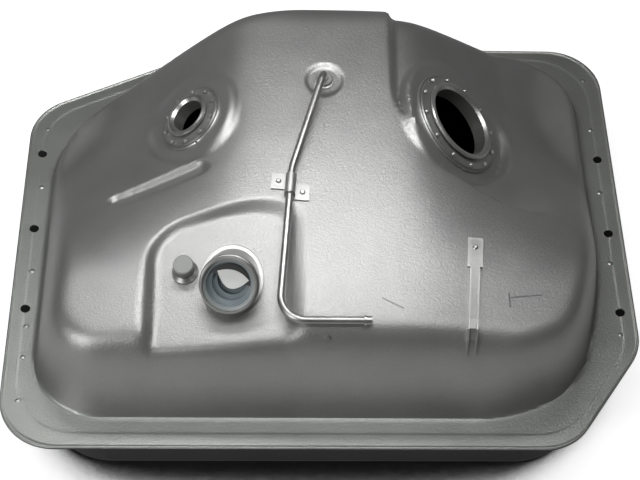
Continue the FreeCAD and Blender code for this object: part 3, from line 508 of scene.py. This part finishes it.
def scuffed(material, tone):
    """Lays the scuffs over a finish in one tone."""
    tree = material.node_tree
    shader = tree.nodes["Principled BSDF"]
    painted = shader.inputs["Base Color"].links[0].from_socket
    group = new_node(tree, "ShaderNodeGroup", -100, 900)
    group.node_tree = scuffs
    bared = new_node(tree, "ShaderNodeMix", 150, 700)
    bared.data_type = "RGBA"
    bared.inputs["B"].default_value = (*tone, 1)
    tree.links.new(painted, bared.inputs["A"])
    link(tree, group, "Scuff", bared, "Factor")
    link(tree, bared, "Result", shader, "Base Color")


silver_paint = surface("silver_paint", (0.36, 0.36, 0.355), (0.42, 0.42, 0.415), (0.52, 0.52, 0.51),
                       0.8, 0.4, grain_scale=420.0, grain_height=1.0)
tone_by_height(silver_paint, (FLANGE_TOP + 0.5) * MM, (FLANGE_TOP + 6) * MM, (0.97, 1.0, 0.96))
scuffed(silver_paint, (0.17, 0.17, 0.17))
finish_piece(upper_shell, silver_paint, "upper_shell")


def dress(node, material):
    """A piece shown as built, in its own finish."""
    item = nodes[node]
    item.data.materials.clear()
    item.data.materials.append(material)


black_paint = surface("black_paint", (0.012, 0.012, 0.013), (0.03, 0.03, 0.031), (0.06, 0.06, 0.06),
                      0.0, 0.42)
pan_mesh = nodes["lower_shell"].data.copy()
lower_shell = bpy.data.objects.new("lower_shell_look", pan_mesh)
bpy.context.collection.objects.link(lower_shell)
pan = bmesh.new()
pan.from_mesh(pan_mesh)
bmesh.ops.remove_doubles(pan, verts=pan.verts, dist=0.00001)
# How far the foot of the walls stands out past the solid, so that the front of the pan shows
WALL_OUT = 11.0
for vertex in pan.verts:
    x, y = vertex.co.x / MM, vertex.co.y / MM
    if vertex.co.z / MM < SEAM - 5:
        inside = distance_in(body_lines, BODY_CORNER, np.array([x, x + 1, x]), np.array([y, y, y + 1]))
        outward = Vector((inside[0] - inside[1], inside[0] - inside[2]))
        share = 1 - float(smooth_step((inside[0] - 32) / 40))
        if outward.length > 0.1:
            outward.normalize()
            vertex.co.x += outward.x * WALL_OUT * share * MM
            vertex.co.y += outward.y * WALL_OUT * share * MM
bmesh.ops.recalc_face_normals(pan, faces=pan.faces)
pan.to_mesh(pan_mesh)
pan.free()
pan_mesh.shade_smooth()
pan_mesh.set_sharp_from_angle(angle=math.radians(30))
finish_piece(lower_shell, black_paint, "lower_shell")

# Pump opening
# A stepped steel collar, split at one side, welded in its seat with a rolled lip ring and studs.
bright_steel = surface("bright_steel", (0.36, 0.365, 0.36), (0.5, 0.5, 0.49), (0.62, 0.62, 0.6), 0.9, 0.3,
                       cloud_scale=40.0)
collar_steel = surface("collar_steel", (0.24, 0.245, 0.24), (0.34, 0.34, 0.33), (0.46, 0.46, 0.45),
                       0.75, 0.36, cloud_scale=30.0)
stud_ring = bpy.data.node_groups.new("stud_ring", "GeometryNodeTree")
socket(stud_ring, "INPUT", "Geometry", "Geometry")
socket(stud_ring, "INPUT", "Int", "Count", 12)
socket(stud_ring, "INPUT", "Float", "Circle radius", 0.056)
socket(stud_ring, "INPUT", "Float", "First angle", 0.0)
socket(stud_ring, "INPUT", "Float", "Stud radius", 0.0026)
socket(stud_ring, "INPUT", "Float", "Stud height", 0.0026)
socket(stud_ring, "INPUT", "Int", "Seed", 7)
socket(stud_ring, "INPUT", "Material", "Material")
socket(stud_ring, "OUTPUT", "Geometry", "Geometry")
ring_in = new_node(stud_ring, "NodeGroupInput", -1000, 0)
ring_out = new_node(stud_ring, "NodeGroupOutput", 800, 0)
circle = new_node(stud_ring, "GeometryNodeMeshCircle", -700, 200)
turn = new_node(stud_ring, "ShaderNodeCombineXYZ", -700, -50)
turned_circle = new_node(stud_ring, "GeometryNodeTransform", -450, 150)
narrow = new_node(stud_ring, "ShaderNodeMath", -700, -250)
narrow.operation = "MULTIPLY"
narrow.inputs[1].default_value = 0.55
cone = new_node(stud_ring, "GeometryNodeMeshCone", -450, -200, Vertices=20)
wobble = new_node(stud_ring, "FunctionNodeRandomValue", -450, -500)
wobble.data_type = "FLOAT"
wobble.inputs[2].default_value = 0.9
wobble.inputs[3].default_value = 1.08
place_studs = new_node(stud_ring, "GeometryNodeInstanceOnPoints", -150, 100)
make_real = new_node(stud_ring, "GeometryNodeRealizeInstances", 150, 100)
give_material = new_node(stud_ring, "GeometryNodeSetMaterial", 450, 100)
link(stud_ring, ring_in, "Count", circle, "Vertices")
link(stud_ring, ring_in, "Circle radius", circle, "Radius")
link(stud_ring, ring_in, "First angle", turn, "Z")
link(stud_ring, circle, "Mesh", turned_circle, "Geometry")
link(stud_ring, turn, "Vector", turned_circle, "Rotation")
link(stud_ring, ring_in, "Stud radius", narrow, 0)
link(stud_ring, ring_in, "Stud radius", cone, "Radius Bottom")
link(stud_ring, narrow, "Value", cone, "Radius Top")
link(stud_ring, ring_in, "Stud height", cone, "Depth")
link(stud_ring, ring_in, "Seed", wobble, "Seed")
link(stud_ring, turned_circle, "Geometry", place_studs, "Points")
link(stud_ring, cone, "Mesh", place_studs, "Instance")
link(stud_ring, wobble, 1, place_studs, "Scale")
link(stud_ring, place_studs, "Instances", make_real, "Geometry")
link(stud_ring, make_real, "Geometry", give_material, "Geometry")
link(stud_ring, ring_in, "Material", give_material, "Material")
link(stud_ring, give_material, "Geometry", ring_out, "Geometry")


def grown(name, group, values, points=()):
    """A plain mesh made by a node group from points, with the group's inputs given by name."""
    mesh = bpy.data.meshes.new(name)
    mesh.from_pydata(list(points), [], [])
    item = bpy.data.objects.new(name, mesh)
    bpy.context.collection.objects.link(item)
    modifier = item.modifiers.new(name, "NODES")
    modifier.node_group = group
    for entry in group.interface.items_tree:
        if entry.in_out == "INPUT" and entry.name in values:
            modifier[entry.identifier] = values[entry.name]
    return settle(item)


def ring_studs(name, frame_of_seat, count, circle_radius, split_turn, node):
    """The projection-welded studs of one collar, standing on its step."""
    item = grown(name, stud_ring, {
        "Count": count, "Circle radius": circle_radius * MM, "Seed": count,
        "First angle": math.radians(split_turn) + math.pi / count, "Material": bright_steel,
    })
    lift = Matrix.Translation((0, 0, 4.2 + 1.3))
    item.data.transform(Matrix.Scale(MM, 4) @ Matrix.Translation((0, 0, FLANGE_TOP)) @ frame_of_seat @ lift
                        @ Matrix.Scale(1 / MM, 4))
    finish_piece(item, bright_steel, node)


dress("pump_collar", collar_steel)
dress("pump_lip_ring", bright_steel)
ring_studs("pump_studs_look", pump_seat, 12, 56, -90, "pump_studs")

# Sender opening
# The smaller opening on the left slope: the same build, with a rolled bright rim.
dress("sender_collar", collar_steel)
dress("sender_lip_ring", bright_steel)
ring_studs("sender_studs_look", sender_seat, 10, 34, -78, "sender_studs")

# Filler neck
# A spun steel neck with a hose bead, brazed in its collar on the pad. Inside it are a stepped moulded
# funnel and a pale sprung flap, with a thin black plate just inside the flap as painted shade in the bore.
pale_plastic = surface("pale_plastic", (0.62, 0.66, 0.65), (0.8, 0.82, 0.8), (0.85, 0.86, 0.84), 0.0, 0.45)
grey_plastic = surface("grey_plastic", (0.16, 0.2, 0.22), (0.25, 0.29, 0.31), (0.4, 0.42, 0.42), 0.0, 0.4)
worn_plastic = surface("worn_plastic", (0.26, 0.27, 0.26), (0.36, 0.37, 0.36), (0.45, 0.46, 0.45), 0.0, 0.5)
dress("filler_neck", bright_steel)
dress("filler_neck_collar", collar_steel)


def turned_look(name, loops, place, segments=72):
    """A closed skin through circles given as radius, centre and height in a frame."""
    points, faces = [], []
    for radius, x, y, z in loops:
        for step in range(segments):
            angle = 2 * math.pi * step / segments
            rim_point = Vector((x + radius * math.cos(angle), y + radius * math.sin(angle), z))
            points.append(place @ rim_point * MM)
    for ring in range(len(loops) - 1):
        for step in range(segments):
            following = (step + 1) % segments
            faces.append((ring * segments + step, ring * segments + following,
                          (ring + 1) * segments + following, (ring + 1) * segments + step))
    faces.append(tuple(range(segments)))
    faces.append(tuple(range((len(loops) - 1) * segments, len(loops) * segments)))
    return mesh_object(name, points, faces, 35)


def plate_look(name, outline, low, high, place):
    """A flat plate of one outline between two heights in a frame."""
    count = len(outline)
    points = [place @ Vector((x, y, z)) * MM for z in (low, high) for x, y in outline]
    faces = [(k, (k + 1) % count, count + (k + 1) % count, count + k) for k in range(count)]
    faces += [tuple(range(count)), tuple(range(count, 2 * count))]
    return mesh_object(name, points, faces, 35)


def bent_line(start, control, end, steps=14):
    """Points of a curve between two points, pulled towards a third."""
    shares = [k / steps for k in range(steps)]
    return [tuple((1 - t) ** 2 * a + 2 * t * (1 - t) * b + t * t * c for a, b, c in zip(start, control, end))
            for t in shares]


neck_place = Matrix.Translation((0, 0, FLANGE_TOP)) @ neck_frame
funnel = turned_look("filler_funnel_look", [
    (27.2, 0, 0, 15), (27.2, 0, 0, 35), (23.6, 0, 0, 35), (23.2, 0.2, 0.4, 31),
    (19.4, 1.4, 2.4, 30.4), (19.0, 1.5, 2.5, 26.6), (15.4, 2.6, 4.4, 26),
    (15.0, 2.7, 4.5, 22.4), (11.6, 3.6, 6.2, 21.8), (11.2, 3.6, 6.2, 18),
], neck_place)
finish_piece(funnel, grey_plastic, "filler_neck_sleeve")
left_tip, right_tip = (-13.0, 13.0), (20.0, 6.0)
lens_outline = bent_line(left_tip, (-1.5, -17.5), right_tip) + bent_line(right_tip, (6.5, 20.5), left_tip)
lens = plate_look("filler_flap_look", lens_outline, 31.6, 33.2, neck_place)
finish_piece(lens, pale_plastic, "filler_flap")
# Painted shade: a thin black half-disc just inside the flap that stands for the shadowed wall of the sleeve
shade_plate_turns = [math.radians(angle) for angle in range(0, 151, 6)]
shade_plate_outline = [(21.6 * math.cos(angle), 21.6 * math.sin(angle)) for angle in shade_plate_turns]
shade_plate = plate_look("filler_shade_plate_look", shade_plate_outline, 31.2, 31.5, neck_place)
finish_piece(shade_plate, black_paint)

# Return stub
# A short tube brazed on the pad, closed by a pressed-in moulded plug.
dress("return_stub", collar_steel)
dress("stub_plug", worn_plastic)

# Breather pipe
# Bent steel tube out of a union on the roof, held by a riveted clamp, with a bead at its free end.
dress("breather_pipe", bright_steel)
dress("pipe_union", silver_paint)
dress("pipe_clamp", collar_steel)
dress("clamp_rivets", bright_steel)

# Hose clip
# A folded strip, spot-welded by its plate, that stands off the front wall as an open channel.
dress("hose_clip", collar_steel)
dress("clip_spot_weld", bright_steel)

# Locating stud
# A small turned stud welded on the front shoulder.
dress("locating_stud", bright_steel)

# Flange weld dots
# Small raised spot welds through both flanges near their ends.
weld_dots = bpy.data.node_groups.new("weld_dots", "GeometryNodeTree")
socket(weld_dots, "INPUT", "Geometry", "Geometry")
socket(weld_dots, "INPUT", "Float", "Dot radius", 0.003)
socket(weld_dots, "INPUT", "Float", "Dot height", 0.0012)
socket(weld_dots, "INPUT", "Int", "Seed", 3)
socket(weld_dots, "INPUT", "Material", "Material")
socket(weld_dots, "OUTPUT", "Geometry", "Geometry")
dots_in = new_node(weld_dots, "NodeGroupInput", -800, 0)
dots_out = new_node(weld_dots, "NodeGroupOutput", 700, 0)
dome = new_node(weld_dots, "GeometryNodeMeshUVSphere", -500, -200, Segments=20, Rings=10)
flat = new_node(weld_dots, "ShaderNodeCombineXYZ", -300, -350)
flat.inputs["X"].default_value = 1.0
flat.inputs["Y"].default_value = 1.0
share = new_node(weld_dots, "ShaderNodeMath", -500, -450)
share.operation = "DIVIDE"
dot_wobble = new_node(weld_dots, "FunctionNodeRandomValue", -500, 250)
dot_wobble.inputs[2].default_value = 0.85
dot_wobble.inputs[3].default_value = 1.1
flat_dome = new_node(weld_dots, "GeometryNodeTransform", -150, -200)
place_dots = new_node(weld_dots, "GeometryNodeInstanceOnPoints", 50, 100)
real_dots = new_node(weld_dots, "GeometryNodeRealizeInstances", 250, 100)
dot_material = new_node(weld_dots, "GeometryNodeSetMaterial", 450, 100)
link(weld_dots, dots_in, "Dot radius", dome, "Radius")
link(weld_dots, dots_in, "Dot height", share, 0)
link(weld_dots, dots_in, "Dot radius", share, 1)
link(weld_dots, share, "Value", flat, "Z")
link(weld_dots, dome, "Mesh", flat_dome, "Geometry")
link(weld_dots, flat, "Vector", flat_dome, "Scale")
link(weld_dots, dots_in, "Seed", dot_wobble, "Seed")
link(weld_dots, dots_in, "Geometry", place_dots, "Points")
link(weld_dots, flat_dome, "Geometry", place_dots, "Instance")
link(weld_dots, dot_wobble, 1, place_dots, "Scale")
link(weld_dots, place_dots, "Instances", real_dots, "Geometry")
link(weld_dots, real_dots, "Geometry", dot_material, "Geometry")
link(weld_dots, dots_in, "Material", dot_material, "Material")
link(weld_dots, dot_material, "Geometry", dots_out, "Geometry")
dot_places = []
for side, shares in ((-1, (-0.8, -0.61, -0.47, -0.21, 0.21, 0.52)), (1, (-0.49, -0.15, 0.21, 0.55, 0.83))):
    for share_of_depth in shares:
        dot_x, dot_y = side * (HALF_LENGTH - 20), share_of_depth * HALF_DEPTH
        dot_places.append((dot_x * MM, dot_y * MM, (FLANGE_TOP - 0.5) * MM))
dots = grown("weld_dots_look", weld_dots, {"Material": bright_steel}, dot_places)
finish_piece(dots, bright_steel, "flange_weld_dots")

# Baffles and swirl pot
# Bare pressed steel inside the tank, spot-welded to the floor of the pan.
inner_steel = surface("inner_steel", (0.25, 0.25, 0.25), (0.34, 0.34, 0.33), (0.45, 0.45, 0.44), 0.8, 0.4)
for node in ("left_baffle", "right_baffle", "swirl_pot"):
    dress(node, inner_steel)

# Drain
# A threaded boss, fibre washer and hexagon plug in a pocket of the pan.
fibre = surface("fibre", (0.22, 0.06, 0.04), (0.32, 0.1, 0.06), (0.35, 0.14, 0.1), 0.0, 0.7)
dress("drain_boss", bright_steel)
dress("drain_plug", bright_steel)
dress("drain_washer", fibre)

# Floor, light and camera
# A pale floor with painted shade close under the tank and painted dark spots where the camera looks through
# the bolt holes,
# and four soft lights: two above, two at the left.
# The surround is dim on the tank and white to the camera.
floor_mesh = bpy.data.meshes.new("floor")
floor_mesh.from_pydata([(-6, -6, 0), (6, -6, 0), (6, 6, 0), (-6, 6, 0)], [], [(0, 1, 2, 3)])
floor = bpy.data.objects.new("floor", floor_mesh)
bpy.context.collection.objects.link(floor)
floor_material = bpy.data.materials.new("floor")
floor_material.use_nodes = True
floor_tree = floor_material.node_tree
floor_shader = floor_tree.nodes["Principled BSDF"]
floor_shader.inputs["Roughness"].default_value = 0.9
floor_shader.inputs["Emission Color"].default_value = (1, 1, 1, 1)
seen = new_node(floor_tree, "ShaderNodeLightPath", -700, 0)
tone = new_node(floor_tree, "ShaderNodeMix", -300, 100)
tone.data_type = "RGBA"
tone.inputs["A"].default_value = (0.8, 0.8, 0.8, 1)
shade = new_node(floor_tree, "ShaderNodeMix", -500, 300)
shade.data_type = "RGBA"
shade.inputs["A"].default_value = (0.92, 0.92, 0.92, 1)
shade.inputs["B"].default_value = (0.01, 0.01, 0.01, 1)
# Painted shade: the floor's colour goes dark where the tank stands close over it, from an occlusion measure,
# not from the lamps
closeness = new_node(floor_tree, "ShaderNodeAmbientOcclusion", -1100, 200)
closeness.samples = 24
closeness.inputs["Distance"].default_value = 0.3
under = new_node(floor_tree, "ShaderNodeMapRange", -900, 200)
under.inputs["From Min"].default_value = 0.54
under.inputs["From Max"].default_value = 0.44
link(floor_tree, closeness, "AO", under, "Value")



def step_on(tree, source, output, operation, x, y, *values):
    """One more arithmetic step after a node's output."""
    node = new_node(tree, "ShaderNodeMath", x, y)
    node.operation = operation
    for index, value in enumerate(values):
        node.inputs[index + 1].default_value = value
    link(tree, source, output, node, 0)
    return node


# Painted shade: two rows of three small dark spots on the floor where the camera looks through the six bolt
# holes, so the holes look black.
# They do not lie under the holes and show as dots from other sides.
floor_place = new_node(floor_tree, "ShaderNodeTexCoord", -2500, 600)
floor_split = new_node(floor_tree, "ShaderNodeSeparateXYZ", -2300, 600)
link(floor_tree, floor_place, "Object", floor_split, "Vector")
from_middle = step_on(floor_tree, floor_split, "X", "SUBTRACT", -2100, 700, 0.0058)
row_offset = step_on(floor_tree, from_middle, "Value", "ABSOLUTE", -1950, 700)
row_offset = step_on(floor_tree, row_offset, "Value", "SUBTRACT", -1800, 700, 0.3602)
along_row = step_on(floor_tree, floor_split, "Y", "SUBTRACT", -2100, 500, 0.0843)
spot_offset = step_on(floor_tree, along_row, "Value", "WRAP", -1950, 500, 0.05895, -0.05895)
row_reach = step_on(floor_tree, along_row, "Value", "ABSOLUTE", -1950, 300)
in_row = step_on(floor_tree, row_reach, "Value", "LESS_THAN", -1800, 300, 0.15)
spot = new_node(floor_tree, "ShaderNodeCombineXYZ", -1600, 600)
spot_reach = new_node(floor_tree, "ShaderNodeVectorMath", -1450, 600)
spot_reach.operation = "LENGTH"
spot_shade = new_node(floor_tree, "ShaderNodeMapRange", -1300, 600)
spot_shade.inputs["From Min"].default_value = 0.014
spot_shade.inputs["From Max"].default_value = 0.008
link(floor_tree, row_offset, "Value", spot, "X")
link(floor_tree, spot_offset, "Value", spot, "Y")
link(floor_tree, spot, "Vector", spot_reach, 0)
link(floor_tree, spot_reach, "Value", spot_shade, "Value")
painted_spot_shade = step_on(floor_tree, spot_shade, "Result", "MULTIPLY", -1100, 600)
link(floor_tree, in_row, "Value", painted_spot_shade, 1)
painted_floor_shade = step_on(floor_tree, painted_spot_shade, "Value", "MAXIMUM", -750, 400)
link(floor_tree, under, "Result", painted_floor_shade, 1)
link(floor_tree, painted_floor_shade, "Value", shade, "Factor")
link(floor_tree, shade, "Result", tone, "B")
open_floor = new_node(floor_tree, "ShaderNodeMath", -500, -350)
open_floor.operation = "SUBTRACT"
open_floor.inputs[0].default_value = 1.0
lit = new_node(floor_tree, "ShaderNodeMath", -450, -200)
lit.operation = "MULTIPLY"
link(floor_tree, painted_floor_shade, "Value", open_floor, 1)
link(floor_tree, seen, "Is Camera Ray", lit, 0)
link(floor_tree, open_floor, "Value", lit, 1)
glow = new_node(floor_tree, "ShaderNodeMath", -300, -200)
glow.operation = "MULTIPLY"
glow.inputs[1].default_value = 0.75
link(floor_tree, seen, "Is Camera Ray", tone, "Factor")
link(floor_tree, lit, "Value", glow, 0)
link(floor_tree, tone, "Result", floor_shader, "Base Color")
link(floor_tree, glow, "Value", floor_shader, "Emission Strength")
floor_mesh.materials.append(floor_material)


def area_light(name, place, aim, width, depth, power):
    """A soft rectangular light aimed at a point."""
    data = bpy.data.lights.new(name, "AREA")
    data.shape = "RECTANGLE"
    data.size, data.size_y, data.energy = width, depth, power
    lamp = bpy.data.objects.new(name, data)
    lamp.location = place
    lamp.rotation_euler = (Vector(aim) - Vector(place)).to_track_quat("-Z", "Y").to_euler()
    bpy.context.collection.objects.link(lamp)
    return lamp


area_light("overhead", (0, -0.2, 2.0), (0, -0.2, 0.2), 1.2, 0.6, 8.5)
area_light("low_over_roof", (-0.05, 0.11, 0.78), (-0.05, -0.12, 0.25), 0.58, 0.08, 1.7)
area_light("left", (-0.75, 0.3, 1.3), (-0.15, -0.1, 0.2), 0.4, 0.3, 1)
area_light("front_left", (-1.5, -1.5, 1.3), (-0.2, -0.1, 0.2), 0.8, 0.8, 16)

world = bpy.data.worlds.new("studio")
bpy.context.scene.world = world
world.use_nodes = True
tree = world.node_tree
background = tree.nodes["Background"]
background.inputs["Color"].default_value = (1, 1, 1, 1)
path = new_node(tree, "ShaderNodeLightPath", -500, 0)
strength = new_node(tree, "ShaderNodeMapRange", -250, 0)
strength.inputs["To Min"].default_value = 0.1
strength.inputs["To Max"].default_value = 1.0
link(tree, path, "Is Camera Ray", strength, "Value")
link(tree, strength, "Result", background, "Strength")

elevation, yaw, roll = math.radians(55), math.radians(-3.769), math.radians(3.581)
outward = math.cos(elevation)
back = Vector((math.sin(yaw) * outward, -math.cos(yaw) * outward, math.sin(elevation)))
right = Vector((math.cos(yaw), math.sin(yaw), 0))
up = back.cross(right)
camera_right = math.cos(roll) * right + math.sin(roll) * up
camera_up = -math.sin(roll) * right + math.cos(roll) * up
camera_data = bpy.data.cameras.new("camera")
camera_data.sensor_width = 36
camera_data.lens = 86.76
# Found from the six bolt holes and the flange's corners in the photograph
CAMERA_PLACE = Vector((-0.071143, -1.031918, 1.458308 + FLANGE_TOP * MM))
camera = bpy.data.objects.new("camera", camera_data)
camera.matrix_world = Matrix((
    (camera_right.x, camera_up.x, back.x, CAMERA_PLACE.x),
    (camera_right.y, camera_up.y, back.y, CAMERA_PLACE.y),
    (camera_right.z, camera_up.z, back.z, CAMERA_PLACE.z),
    (0, 0, 0, 1),
))
bpy.context.collection.objects.link(camera)
bpy.context.scene.camera = camera
bpy.context.scene.view_settings.view_transform = "Standard"
